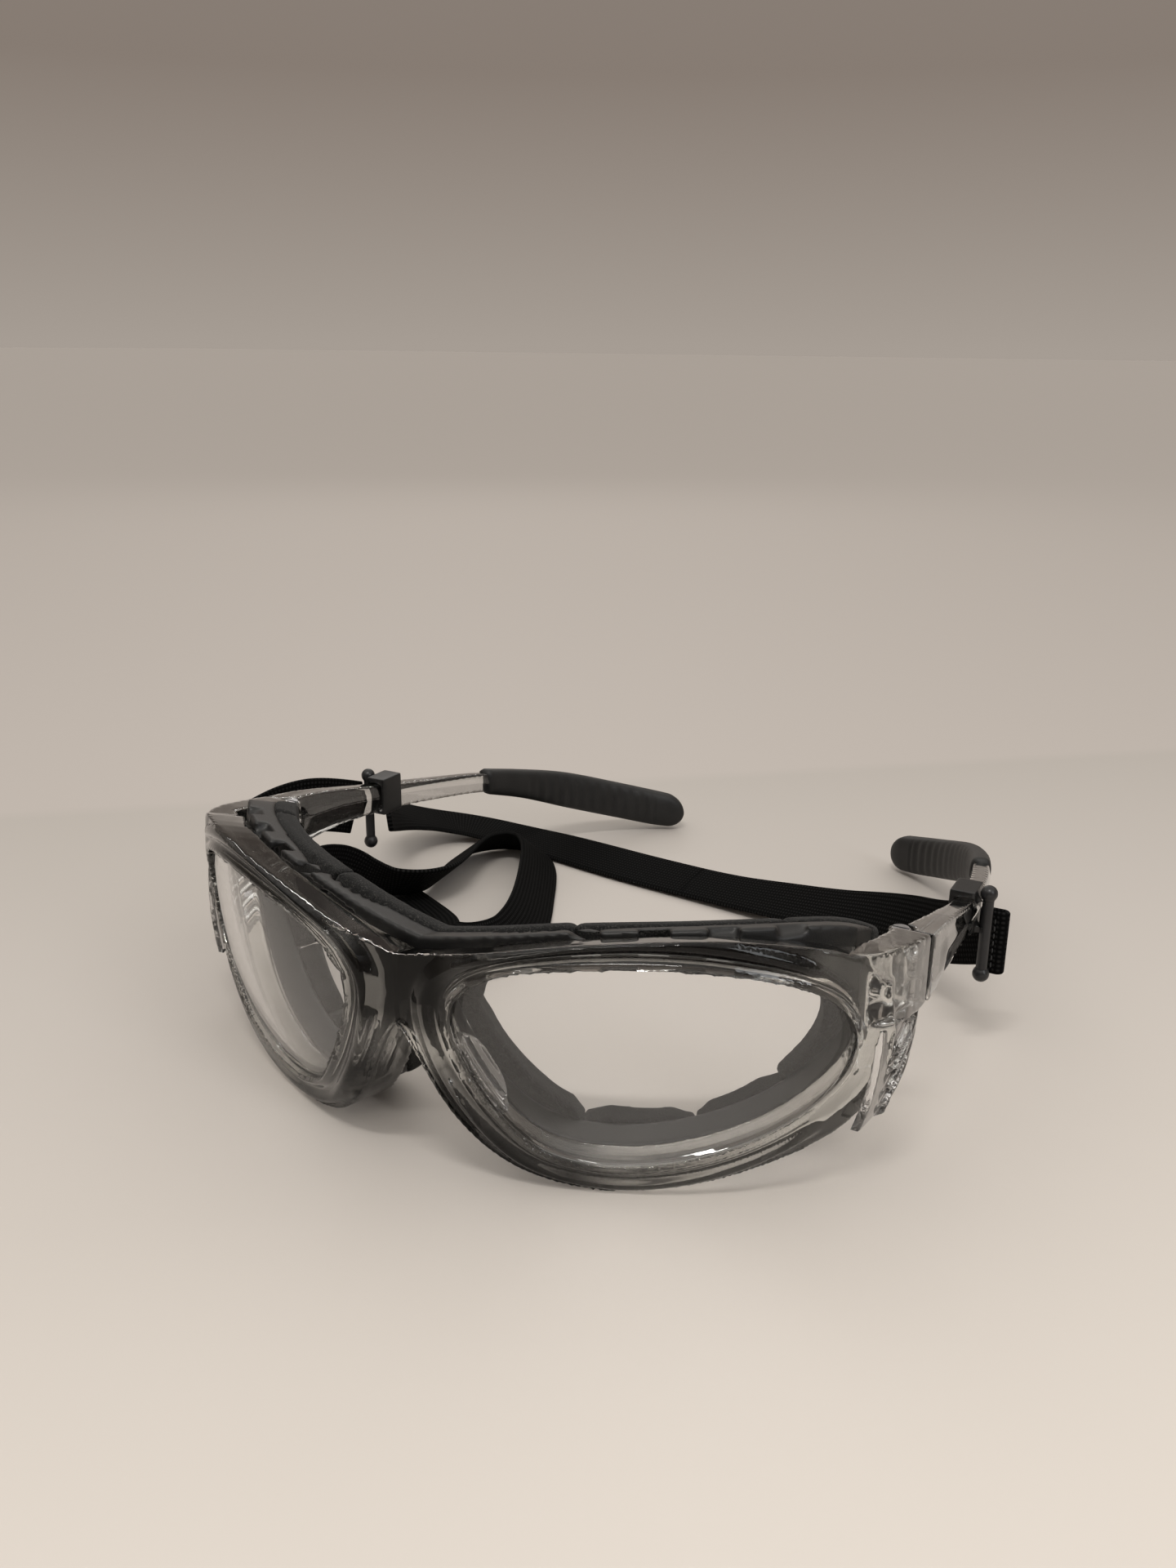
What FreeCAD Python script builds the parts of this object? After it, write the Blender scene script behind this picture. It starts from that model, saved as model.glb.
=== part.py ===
"""Wrap-round safety goggles with a lift-out foam gasket, folding temples and an elastic headband.

Axes: +X is the wearer's left, the front faces -Y, +Z is up. Millimetres.
The goggles stand on a table: the rims' lower edges and the temple tips touch z = 0.
Everything on the left is drawn once and mirrored for the right; only the headband is not symmetrical.
"""
import FreeCAD
import Part
import math
import os

Vec = FreeCAD.Vector

# ---------------------------------------------------------------- driving dimensions
FOOTPRINT_MIDDLE_Y = 72.1     # middle of the footprint, front to back, before the model is centred
LENS_CENTRE = Vec(37.5, -1.0, 23.8)
WRAP_ANGLE = 27.4             # each lens turns outward by this, degrees
TILT_ANGLE = 6.3              # the top of each lens leans forward by this, degrees
LENS_RADIUS = 76.7            # outer surface of the lens
LENS_THICKNESS = 2.2
LENS_GROOVE = 0.9             # how far the lens edge sits inside the rim
RIM_FRONT = 1.4               # the rim stands this far in front of the lens
RIM_BACK = -5.6
TOP_SLOPE = 0.42              # rim, carrier and foam get lower towards the back by this much per millimetre
CARRIER_FRONT = -5.9          # the gasket carrier starts behind the rim
CARRIER_BACK = -10.9
FOAM_BACK = -14.4
FOAM_GAP_ANGLE = 0.9          # half of the gap between two foam pads, degrees
INSERT_HALF_WIDTH = 58.4      # the gasket insert passes between the hinge knuckles

LUG_BACK_Y = 37.7
LUG_TOP = 36.3
HINGE_X = 61.0
HINGE_Y = 38.6
HINGE_LOW = 24.9
HINGE_HIGH = 35.9
KNUCKLE_RADIUS = 1.9
KNUCKLE_CLEARANCE = 0.3
PIN_RADIUS = 0.8
PIN_RUNNING_CLEARANCE = 0.05
SCREW_HEAD_RADIUS = 1.35
SCREW_HEAD_HEIGHT = 0.8

SHIELD_CENTRE = Vec(20, 26, 25)   # of the sphere that the side shield is part of
SHIELD_RADIUS = 45.6
SHIELD_THICKNESS = 1.3
# The side shield's outline from the side, as (y, z).
SHIELD_SIDE = [(19.0, 28.0), (17.6, 11.4), (24.0, 11.8), (30.6, 14.4), (35.2, 18.8), (36.9, 25.6), (28.0, 26.4)]
LOUVRE_COUNT = 4
LOUVRE_TOP = 22.4
LOUVRE_FRONT_Y = 24.6
LOUVRE_LENGTH = 8.0
LOUVRE_SHORTENING = 1.2       # each louvre is this much shorter than the one above
LOUVRE_PITCH = 3.0
LOUVRE_WIDTH = 1.5
LOUVRE_SLANT = 16.0           # degrees

NOSE_PAD_CENTRE = Vec(9.0, -4.6, 16.4)
NOSE_PAD_LENGTH = 17.0
NOSE_PAD_WIDTH = 9.0
NOSE_PAD_DEPTH = 3.0
NOSE_PAD_DOME = 20.0

CLIP_Y = 72.0
CLIP_LENGTH = 7.0
CLIP_INNER_X = 61.0
CLIP_OUTER_X = 66.0
CLIP_BOTTOM = 23.3
CLIP_TOP = 31.9
PRONG_HEIGHTS = (24.2, 30.0)
PRONG_WIDTH = 2.2
PRONG_HEIGHT = 1.8
PRONG_ROOT = 0.5
BAR_X = 67.6
BAR_Y = 71.6
BAR_RADIUS = 1.0
BAR_LOW = 15.6
BAR_HIGH = 31.0
KNOB_RADIUS = 1.5

STRAP_WIDTH = 12.0
STRAP_THICKNESS = 1.05
SEWN_END_LOW = (66.4, 73.4, 15.0)
SEWN_END_HIGH = (71.0, 76.0, 27.0)
STRAP_TUBE_RADIUS = math.sqrt(STRAP_WIDTH * STRAP_THICKNESS / math.pi)   # same section area as the webbing
ARC_SHARE = 0.45              # an arc uses this share of the shorter run beside it

# The visible opening of the left lens, as (towards the temple, up) from the lens centre.
OPENING = [(29.9, 1.0), (27.4, 7.6), (21.2, 11.9), (10.0, 15.0), (-2.0, 15.95), (-14.0, 14.8), (-24.4, 11.4),
           (-28.9, 6.0), (-27.4, -1.8), (-22.4, -10.3), (-15.4, -17.0), (-5.0, -18.9), (7.0, -16.9),
           (18.0, -12.6), (26.2, -6.6)]
# The outer edge of the left rim: the lower edge starts and the top edge ends past the middle of the bridge.
RIM_LOWER_EDGE = [(-43.0, 3.8), (-38.6, 2.2), (-34.6, -3.0), (-31.0, -9.8), (-26.4, -16.2), (-20.6, -21.0),
                  (-14.2, -23.5), (-6.6, -24.3), (1.5, -23.6), (9.8, -21.8), (18.0, -19.0), (26.0, -15.4),
                  (31.6, -10.8), (34.6, -5.2), (35.8, 1.0), (35.0, 7.6)]
RIM_TOP_EDGE = [(33.4, 14.6), (28.2, 18.8), (20.5, 20.6), (12.0, 21.4), (4.0, 21.5), (-3.4, 21.1), (-12.5, 20.3),
                (-22.1, 18.8), (-30.0, 17.8), (-37.4, 17.2), (-43.0, 17.1)]
# The outer edge of the gasket carrier and of the foam behind it.
INSERT_LOWER_EDGE = [(-46.0, 6.0), (-38.0, 3.6), (-33.4, -2.2), (-29.8, -9.2), (-25.4, -15.4), (-19.4, -20.0),
                     (-12.8, -22.2), (-5.4, -22.8), (2.5, -22.2), (10.5, -20.2), (18.5, -17.2), (25.6, -13.2),
                     (30.4, -8.6), (33.4, -3.0), (35.6, 3.0), (37.0, 9.0), (37.4, 13.4)]
INSERT_TOP_EDGE = [(36.2, 17.2), (30.0, 19.2), (22.0, 19.7), (13.0, 19.5), (4.0, 19.2), (-4.0, 18.9), (-13.0, 18.3),
                   (-22.0, 17.3), (-31.0, 16.4), (-38.0, 16.0), (-46.0, 15.8)]
CARRIER_INNER_INSET = 0.6
VENT_STARTS = (-12.0, -2.0, 8.0, 18.0)
VENT_WIDTH = 4.4
# The nose's space through the insert, as (x, z) from the side to its top.
NOSE_SPACE = [(12.6, -8.0), (10.4, 8.0), (7.6, 15.0), (5.2, 22.0), (2.8, 26.4), (0.0, 27.8)]
# The inner edge of the foam.
FOAM_INNER = [(26.4, 1.0), (23.4, 6.0), (16.0, 9.0), (4.0, 10.2), (-9.0, 10.2), (-19.6, 8.2), (-25.0, 3.6),
              (-23.8, -3.4), (-17.8, -12.0), (-11.6, -17.4), (-2.0, -19.4), (7.0, -18.8), (15.6, -15.4),
              (22.6, -9.4)]
# Where one foam pad ends and the next begins, as angles about the lens centre.
FOAM_BREAKS = {"brow_foam": (36.0, 128.0), "temple_foam": (-31.0, 36.0), "outer_cheek_foam": (-69.0, -31.0),
               "middle_cheek_foam": (-115.0, -69.0), "inner_cheek_foam": (-182.0, -115.0)}
BRIDGE_FOAM_SPAN = (128.0, 178.0)

# Plan of the lug that carries the hinge, and its outline from the side as (y, z).
LUG_PLAN = [(57.6, 14.6), (60.6, 15.6), (63.0, 18.6), (64.6, 23.0), (65.8, 29.5), (66.3, LUG_BACK_Y),
            (60.3, LUG_BACK_Y), (60.0, 30.0), (59.4, 25.0), (58.8, 21.0), (56.6, 19.0)]
LUG_SIDE = [(15.0, 40.4), (24.0, 39.0), (LUG_BACK_Y, LUG_TOP), (LUG_BACK_Y, 24.4), (28.0, 25.2), (20.0, 27.2),
            (15.0, 28.2)]

# The left temple: plan points (x, y, thickness) along its middle, and side points (y, top z, bottom z).
TEMPLE_PLAN = [(63.7, 38.05, 5.8), (64.3, 46.0, 4.6), (64.4, 56.0, 3.7), (64.2, 66.0, 3.3), (63.6, 76.0, 3.2),
               (62.2, 88.0, 3.0), (59.8, 102.0, 3.0), (56.4, 116.0, 2.8), (50.4, 130.5, 2.6), (42.6, 141.6, 2.4)]
TEMPLE_SIDE = [(38.05, 36.1, 24.6), (46.0, 35.0, 25.4), (56.0, 33.0, 25.2), (66.0, 30.8, 24.4),
               (76.0, 29.0, 23.4), (88.0, 26.8, 21.8), (102.0, 24.4, 19.8), (116.0, 21.2, 16.6),
               (130.5, 16.4, 11.6), (141.6, 12.0, 7.4)]
TIP_PLAN = [(59.1, 105.0, 4.2), (56.3, 116.5, 4.4), (51.0, 130.0, 4.6), (42.2, 143.0, 4.8), (35.2, 149.6, 4.6),
            (27.2, 154.4, 3.6)]
TIP_SIDE = [(105.0, 24.8, 18.6), (116.5, 22.0, 15.0), (130.0, 18.6, 9.6), (143.0, 13.2, 4.0), (149.6, 10.4, 1.2),
            (155.6, 8.2, 0.0)]

# The headband's routes, before centring. The left half leaves the left clip; the right half goes on to the
# right clip, and the tail leaves the right clip, loops on the table and ends under itself.
BAND_LEFT = [(66.0, 78.4, 20.6), (60.5, 83.0, 17.4), (54.5, 89.8, 14.0), (47.5, 96.8, 11.2), (38.5, 103.0, 8.4),
             (28.0, 107.8, 5.8), (15.0, 111.6, 3.8), (1.0, 114.2, 2.8), (-8.0, 115.2, 2.6)]
BAND_RIGHT = [(-8.0, 115.2, 2.6), (-20.0, 116.4, 2.3), (-33.5, 118.6, 2.3), (-46.5, 121.2, 2.3),
              (-60.0, 122.8, 2.4), (-72.6, 121.4, 3.4), (-80.6, 114.2, 6.0), (-82.0, 103.6, 10.2),
              (-78.2, 92.8, 15.6), (-71.2, 82.6, 20.0)]
TAIL = [(-70.4, 69.8, 23.6), (-73.4, 62.6, 26.2), (-76.0, 55.0, 26.8), (-78.2, 47.6, 25.2), (-79.8, 41.0, 22.6),
        (-76.0, 35.6, 19.8), (-70.2, 37.4, 17.4), (-68.4, 44.0, 15.8), (-68.4, 51.2, 14.4), (-69.6, 58.6, 12.8),
        (-69.8, 65.4, 10.4), (-65.4, 70.4, 7.8), (-59.2, 74.2, 6.8), (-56.8, 82.6, 5.0), (-59.2, 91.4, 3.8),
        (-61.8, 99.8, 3.4), (-62.2, 107.8, 3.4), (-57.6, 113.6, 3.4), (-50.6, 113.0, 3.4), (-45.2, 107.2, 3.6),
        (-40.8, 100.0, 3.6), (-36.8, 92.4, 3.6), (-32.6, 84.2, 3.6), (-28.8, 76.0, 3.6), (-25.8, 67.6, 3.6),
        (-24.4, 59.4, 3.8), (-28.6, 52.6, 4.0), (-36.8, 53.0, 3.6), (-43.0, 60.2, 2.8), (-50.4, 67.4, 2.3),
        (-60.6, 74.6, 2.1), (-71.2, 80.0, 2.1), (-81.2, 84.8, 2.1)]

# ---------------------------------------------------------------- the lens's own axes
wrap = math.radians(WRAP_ANGLE)
tilt = math.radians(TILT_ANGLE)
OUT = Vec(math.cos(wrap), math.sin(wrap), 0)
LEVEL_NORMAL = Vec(math.sin(wrap), -math.cos(wrap), 0)
UP = Vec(0, 0, 1) * math.cos(tilt) + LEVEL_NORMAL * math.sin(tilt)
NORMAL = LEVEL_NORMAL * math.cos(tilt) - Vec(0, 0, 1) * math.sin(tilt)
SPHERE_CENTRE = LENS_CENTRE - NORMAL * LENS_RADIUS


def lens_point(u, v, depth):
    """A point u towards the temple and v up from the lens centre, on a plane at this depth."""
    return LENS_CENTRE + OUT * u + UP * v + NORMAL * depth


def spline(points, closed=False):
    curve = Part.BSplineCurve()
    curve.interpolate(Points=points, PeriodicFlag=closed)
    return curve.toShape()


def moved_outline(outline, distance):
    """The closed outline with each point moved outward by this distance."""
    count = len(outline)
    result = []
    for i, (u, v) in enumerate(outline):
        before = outline[i - 1]
        after = outline[(i + 1) % count]
        along = (after[0] - before[0], after[1] - before[1])
        length = math.hypot(*along)
        result.append((u - along[1] / length * distance, v + along[0] / length * distance))
    return result


def closed_prism(outline, back=-24.0, front=8.0):
    """A closed outline in the lens's axes, run along the lens's normal."""
    edge = spline([lens_point(u, v, back) for u, v in outline], closed=True)
    return Part.Face(Part.Wire(edge)).extrude(NORMAL * (front - back))


def open_prism(outline, back=-24.0, front=8.0):
    """An outline whose last point joins its first by a straight line, run along the lens's normal."""
    points = [lens_point(u, v, back) for u, v in outline]
    wire = Part.Wire([spline(points), Part.makeLine(points[-1], points[0])])
    return Part.Face(wire).extrude(NORMAL * (front - back))


def above_top_edge(top_edge, front):
    """The space above a top edge that gets lower towards the back, from this depth."""
    ahead = 8.0
    first_u, first_v = top_edge[0]
    edge = [(first_u + 16, first_v - 6), (first_u + 7, first_v - 2.2)] + top_edge
    points = [lens_point(u, v + 0.05 + ahead * TOP_SLOPE, front + ahead) for u, v in edge]
    over = [lens_point(u, 60, front + ahead) for u in (edge[-1][0], edge[0][0])]
    wire = Part.Wire([spline(points), Part.makePolygon([points[-1]] + over + [points[0]])])
    return Part.Face(wire).extrude((NORMAL + UP * TOP_SLOPE) * -(ahead + 24))


def shell(back, front):
    """The space between two spheres about the lens's centre of curvature."""
    outer = Part.makeSphere(LENS_RADIUS + front, SPHERE_CENTRE)
    return outer.cut(Part.makeSphere(LENS_RADIUS + back, SPHERE_CENTRE))


def box(low, high):
    size = [b - a for a, b in zip(low, high)]
    return Part.makeBox(*size, Vec(*low))


def polygon_prism(points, run):
    return Part.Face(Part.makePolygon(points + [points[0]])).extrude(run)


def cylinder(x, y, low, high, radius):
    return Part.makeCylinder(radius, high - low, Vec(x, y, low))


def mirrored(shape):
    return shape.mirror(Vec(0, 0, 0), Vec(1, 0, 0))


def one_solid(shape):
    """The largest solid of a boolean result, with split faces joined."""
    solid = max(shape.Solids, key=lambda s: s.Volume)
    return solid.removeSplitter()


# ---------------------------------------------------------------- front frame and lenses
LEFT_HALF = box((0, -60, -20), (120, 200, 80))
ABOVE_TABLE = box((-5, -60, 0), (120, 200, 80))
OPENING_PRISM = closed_prism(OPENING)


def make_lens():
    edge = closed_prism(moved_outline(OPENING, LENS_GROOVE))
    return one_solid(edge.common(shell(-LENS_THICKNESS, 0.0)))


def make_lug():
    plan = polygon_prism([Vec(x, y, 0) for x, y in LUG_PLAN], Vec(0, 0, 60))
    side = polygon_prism([Vec(50, y, z) for y, z in LUG_SIDE], Vec(30, 0, 0))
    return plan.common(side)


def knuckle_heights():
    """The three knuckles of a hinge, from the bottom: lug, temple, lug."""
    third = (HINGE_HIGH - HINGE_LOW) / 3.0
    return HINGE_LOW, HINGE_LOW + third, HINGE_LOW + 2 * third, HINGE_HIGH


def make_frame_half(lens):
    low, lower_mid, upper_mid, high = knuckle_heights()
    half = open_prism(RIM_LOWER_EDGE + RIM_TOP_EDGE).cut(above_top_edge(RIM_TOP_EDGE, RIM_FRONT))
    half = half.common(shell(RIM_BACK, RIM_FRONT)).common(LEFT_HALF)
    half = half.fuse(make_lug()).cut(OPENING_PRISM).common(ABOVE_TABLE)
    for bottom, top in ((low, lower_mid), (upper_mid, high)):
        half = half.fuse(cylinder(HINGE_X, HINGE_Y, bottom, top, KNUCKLE_RADIUS))
    gap = KNUCKLE_CLEARANCE
    half = half.cut(cylinder(HINGE_X, HINGE_Y, lower_mid - gap / 2, upper_mid + gap / 2, KNUCKLE_RADIUS + gap))
    half = half.cut(cylinder(HINGE_X, HINGE_Y, low, high, PIN_RADIUS))
    half = half.cut(cylinder(HINGE_X, HINGE_Y, high - SCREW_HEAD_HEIGHT, high, SCREW_HEAD_RADIUS))
    return half.cut(lens)


def make_screw():
    shank = cylinder(HINGE_X, HINGE_Y, HINGE_LOW, HINGE_HIGH, PIN_RADIUS)
    head = cylinder(HINGE_X, HINGE_Y, HINGE_HIGH - SCREW_HEAD_HEIGHT, HINGE_HIGH, SCREW_HEAD_RADIUS)
    slot = box((HINGE_X - 2, HINGE_Y - 0.2, HINGE_HIGH - 0.4), (HINGE_X + 2, HINGE_Y + 0.2, HINGE_HIGH + 1))
    return one_solid(shank.fuse(head).cut(slot))


# ---------------------------------------------------------------- side shields and nose pads
def make_side_shield(frame):
    """A curved flap under the lug, with slanted louvres."""
    skin = Part.makeSphere(SHIELD_RADIUS, SHIELD_CENTRE)
    skin = skin.cut(Part.makeSphere(SHIELD_RADIUS - SHIELD_THICKNESS, SHIELD_CENTRE))
    flap = skin.common(polygon_prism([Vec(50, y, z) for y, z in SHIELD_SIDE], Vec(30, 0, 0)))
    half_width = LOUVRE_WIDTH / 2
    for i in range(LOUVRE_COUNT):
        front = Vec(50, LOUVRE_FRONT_Y, LOUVRE_TOP - i * LOUVRE_PITCH)
        back = front + Vec(0, LOUVRE_LENGTH - i * LOUVRE_SHORTENING, 0)
        slot = box((50, front.y, front.z - half_width), (80, back.y, back.z + half_width))
        for end in (front, back):
            slot = slot.fuse(Part.makeCylinder(half_width, 30, end, Vec(1, 0, 0)))
        slot.rotate(front, Vec(1, 0, 0), LOUVRE_SLANT)
        flap = flap.cut(slot)
    return one_solid(flap.cut(frame))


def make_nose_pad(frame):
    """An oval pad on the nose side of the rim, domed towards the nose."""
    towards_nose = Vec(-0.80, 0.52, -0.30).normalize()
    long_axis = Vec(0.42, 0.10, -0.90).normalize()
    long_axis = (long_axis - towards_nose * long_axis.dot(towards_nose)).normalize()
    across = towards_nose.cross(long_axis)
    start = NOSE_PAD_CENTRE - towards_nose * NOSE_PAD_DEPTH
    oval = [start + long_axis * (NOSE_PAD_LENGTH / 2 * math.cos(a)) + across * (NOSE_PAD_WIDTH / 2 * math.sin(a))
            for a in [math.radians(30 * i) for i in range(12)]]
    pad = Part.Face(Part.Wire(spline(oval, closed=True))).extrude(towards_nose * (NOSE_PAD_DEPTH + 3))
    dome = Part.makeSphere(NOSE_PAD_DOME, NOSE_PAD_CENTRE - towards_nose * (NOSE_PAD_DOME - 1.6))
    return one_solid(pad.common(dome).common(shell(RIM_BACK, 30.0)).cut(frame))


# ---------------------------------------------------------------- gasket insert
INSERT_SPACE = box((0, -60, -20), (INSERT_HALF_WIDTH, 200, 80))


def insert_blank():
    """The left half of the gasket insert as one block, open to the nose."""
    nose = [Vec(x, -60, z) for x, z in NOSE_SPACE] + [Vec(0, -60, -8)]
    blank = open_prism(INSERT_LOWER_EDGE + INSERT_TOP_EDGE).cut(above_top_edge(INSERT_TOP_EDGE, CARRIER_FRONT))
    return blank.common(INSERT_SPACE).cut(polygon_prism(nose, Vec(0, 140, 0)))


def make_carrier():
    half = insert_blank().common(shell(CARRIER_BACK, CARRIER_FRONT))
    half = half.cut(closed_prism(moved_outline(OPENING, -CARRIER_INNER_INSET)))
    for start in VENT_STARTS:
        end = start + VENT_WIDTH
        vent = [(start, 16.2), (end, 16.2), (end, 24.0), (start, 24.0)]
        points = [lens_point(u, v, CARRIER_FRONT - 8) for u, v in vent]
        half = half.cut(polygon_prism(points, NORMAL * 10).common(shell(CARRIER_FRONT - 2.4, CARRIER_FRONT + 1)))
    return one_solid(half.fuse(mirrored(half)))


def wedge(start, end):
    """A wide three- or four-sided prism between two directions from the lens centre."""
    reach = 90.0
    angles = [start + FOAM_GAP_ANGLE, (start + end) / 2, end - FOAM_GAP_ANGLE]
    points = [lens_point(0, 0, -24)]
    for angle in angles:
        a = math.radians(angle)
        points.append(lens_point(reach * math.cos(a), reach * math.sin(a), -24))
    return polygon_prism(points, NORMAL * 40)


def make_foam():
    """The foam pads of the left side, and the one across the bridge."""
    ring = insert_blank().common(shell(FOAM_BACK, CARRIER_BACK))
    ring = ring.cut(closed_prism(FOAM_INNER))
    pads = {name: one_solid(ring.common(wedge(*span))) for name, span in FOAM_BREAKS.items()}
    nose = ring.common(wedge(*BRIDGE_FOAM_SPAN))
    bridge = one_solid(nose.fuse(mirrored(nose)))
    return pads, bridge


# ---------------------------------------------------------------- temples
def band_in_plan(points, ends=0.0):
    """A strip seen from above: points are (x, y, thickness) along its middle."""
    inner = []
    outer = []
    for i, (x, y, thickness) in enumerate(points):
        a = points[max(i - 1, 0)]
        b = points[min(i + 1, len(points) - 1)]
        along = Vec(b[0] - a[0], b[1] - a[1], 0).normalize()
        across = Vec(along.y, -along.x, 0) * (thickness / 2)
        inner.append(Vec(x, y, -5) - across)
        outer.append(Vec(x, y, -5) + across)
    wire = Part.Wire([spline(outer), Part.makeLine(outer[-1], inner[-1]), spline(inner),
                      Part.makeLine(inner[0], outer[0])])
    return Part.Face(wire).extrude(Vec(0, 0, 60))


def band_from_side(points):
    """The same strip seen from the side: points are (y, top, bottom)."""
    top = [Vec(10, y, high) for y, high, low in points]
    bottom = [Vec(10, y, low) for y, high, low in points]
    wire = Part.Wire([spline(top), Part.makeLine(top[-1], bottom[-1]), spline(bottom),
                      Part.makeLine(bottom[0], top[0])])
    return Part.Face(wire).extrude(Vec(70, 0, 0))


def make_temple():
    low, lower_mid, upper_mid, high = knuckle_heights()
    gap = KNUCKLE_CLEARANCE
    arm = band_in_plan(TEMPLE_PLAN).common(band_from_side(TEMPLE_SIDE))
    for bottom, top in ((low - 3, lower_mid + gap / 2), (upper_mid - gap / 2, high + 3)):
        arm = arm.cut(cylinder(HINGE_X, HINGE_Y, bottom, top, KNUCKLE_RADIUS + gap))
    arm = arm.fuse(cylinder(HINGE_X, HINGE_Y, lower_mid + gap / 2, upper_mid - gap / 2, KNUCKLE_RADIUS))
    arm = arm.cut(cylinder(HINGE_X, HINGE_Y, low, high, PIN_RADIUS + PIN_RUNNING_CLEARANCE))
    return one_solid(arm)


def make_tip(temple):
    tip = band_in_plan(TIP_PLAN).common(band_from_side(TIP_SIDE)).cut(temple)
    return one_solid(tip)


def make_clip(temple):
    """A loop round the temple, with two prongs that hold the strap bar."""
    clip = box((CLIP_INNER_X, CLIP_Y - CLIP_LENGTH / 2, CLIP_BOTTOM),
               (CLIP_OUTER_X, CLIP_Y + CLIP_LENGTH / 2, CLIP_TOP))
    for z in PRONG_HEIGHTS:
        clip = clip.fuse(box((CLIP_OUTER_X - PRONG_ROOT, BAR_Y - PRONG_WIDTH / 2, z - PRONG_HEIGHT / 2),
                             (BAR_X, BAR_Y + PRONG_WIDTH / 2, z + PRONG_HEIGHT / 2)))
    return clip.cut(temple)


def make_bar():
    bar = cylinder(BAR_X, BAR_Y, BAR_LOW, BAR_HIGH, BAR_RADIUS)
    for z in (BAR_LOW, BAR_HIGH):
        bar = bar.fuse(Part.makeSphere(KNOB_RADIUS, Vec(BAR_X, BAR_Y, z)))
    return one_solid(bar)


# ---------------------------------------------------------------- headband
def route_wire(points, label):
    """Straight runs joined by the largest tangent arcs that fit."""
    path = [Vec(*p) for p in points]
    edges = []
    start = path[0]
    radii = []
    for before, corner, after in zip(path, path[1:], path[2:]):
        into = (corner - before).normalize()
        out = (after - corner).normalize()
        turn = into.getAngle(out)
        cut = ARC_SHARE * min(corner.distanceToPoint(before), corner.distanceToPoint(after))
        radii.append(cut / math.tan(turn / 2))
        arc_start = corner - into * cut
        arc_end = corner + out * cut
        bisector = (out - into).normalize()
        to_centre = radii[-1] / math.cos(turn / 2)
        middle = corner + bisector * (to_centre - radii[-1])
        edges.append(Part.LineSegment(start, arc_start).toShape())
        edges.append(Part.Arc(arc_start, middle, arc_end).toShape())
        start = arc_end
    edges.append(Part.LineSegment(start, path[-1]).toShape())
    wire = Part.Wire(edges)
    print(label, "length", round(wire.Length, 1), "radii", [round(r, 1) for r in radii])
    return wire


def make_tube(points, label):
    wire = route_wire(points, label)
    first = wire.Edges[0]
    start = first.valueAt(first.FirstParameter)
    direction = first.tangentAt(first.FirstParameter)
    section = Part.Wire(Part.makeCircle(STRAP_TUBE_RADIUS, start, direction))
    tube = wire.makePipeShell([section], True, False, 2)
    expected = math.pi * STRAP_TUBE_RADIUS ** 2 * wire.Length
    print(label, "volume", round(tube.Volume, 1), "section times length", round(expected, 1))
    return tube


def make_sewn_end():
    """The strap's folded and sewn end, outside the left bar."""
    return box(SEWN_END_LOW, SEWN_END_HIGH)


# ---------------------------------------------------------------- build and write
def main():
    os.makedirs("parts", exist_ok=True)
    lens = make_lens()
    frame_half = make_frame_half(lens)
    frame = one_solid(frame_half.fuse(mirrored(frame_half)))
    pads, bridge_foam = make_foam()
    temple = make_temple()
    paired = {"lens": lens,
              "side_shield": make_side_shield(frame_half),
              "nose_pad": make_nose_pad(frame_half),
              "hinge_screw": make_screw(),
              "temple": temple,
              "temple_tip": make_tip(temple),
              "strap_clip": make_clip(temple),
              "strap_bar": make_bar()}
    paired.update(pads)
    clip_and_bar = paired["strap_clip"].cut(paired["strap_bar"])
    paired["strap_clip"] = one_solid(clip_and_bar)

    nodes = {"front_frame": frame, "gasket_carrier": make_carrier(), "bridge_foam": bridge_foam}
    for name, shape in paired.items():
        nodes["left_" + name] = shape
        nodes["right_" + name] = mirrored(shape)
    nodes["strap_sewn_end"] = make_sewn_end()
    nodes["strap_left_half"] = make_tube(BAND_LEFT, "strap_left_half")
    nodes["strap_right_half"] = make_tube(BAND_RIGHT, "strap_right_half")
    nodes["strap_tail"] = make_tube(TAIL, "strap_tail")

    bounds = FreeCAD.BoundBox()
    for name, shape in nodes.items():
        shape.translate(Vec(0, -FOOTPRINT_MIDDLE_Y, 0))
        if not name.startswith("strap"):
            bounds.add(shape.BoundBox)
        print(f"{name:28s} valid {shape.isValid()} solids {len(shape.Solids)} volume {shape.Volume:8.1f} "
              f"y {shape.BoundBox.YMin:6.1f} {shape.BoundBox.YMax:6.1f} z {shape.BoundBox.ZMin:5.2f}")
        shape.exportStep(f"parts/{name}.step")
    print("rigid parts", bounds)
    print("hinge", HINGE_X, HINGE_Y - FOOTPRINT_MIDDLE_Y)


main()
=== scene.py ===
"""Looks of the safety goggles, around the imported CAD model. +X is the wearer's left and -Y the front."""
import bmesh
import bpy
import math
import numpy as np
from mathutils import Matrix, Vector


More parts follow.
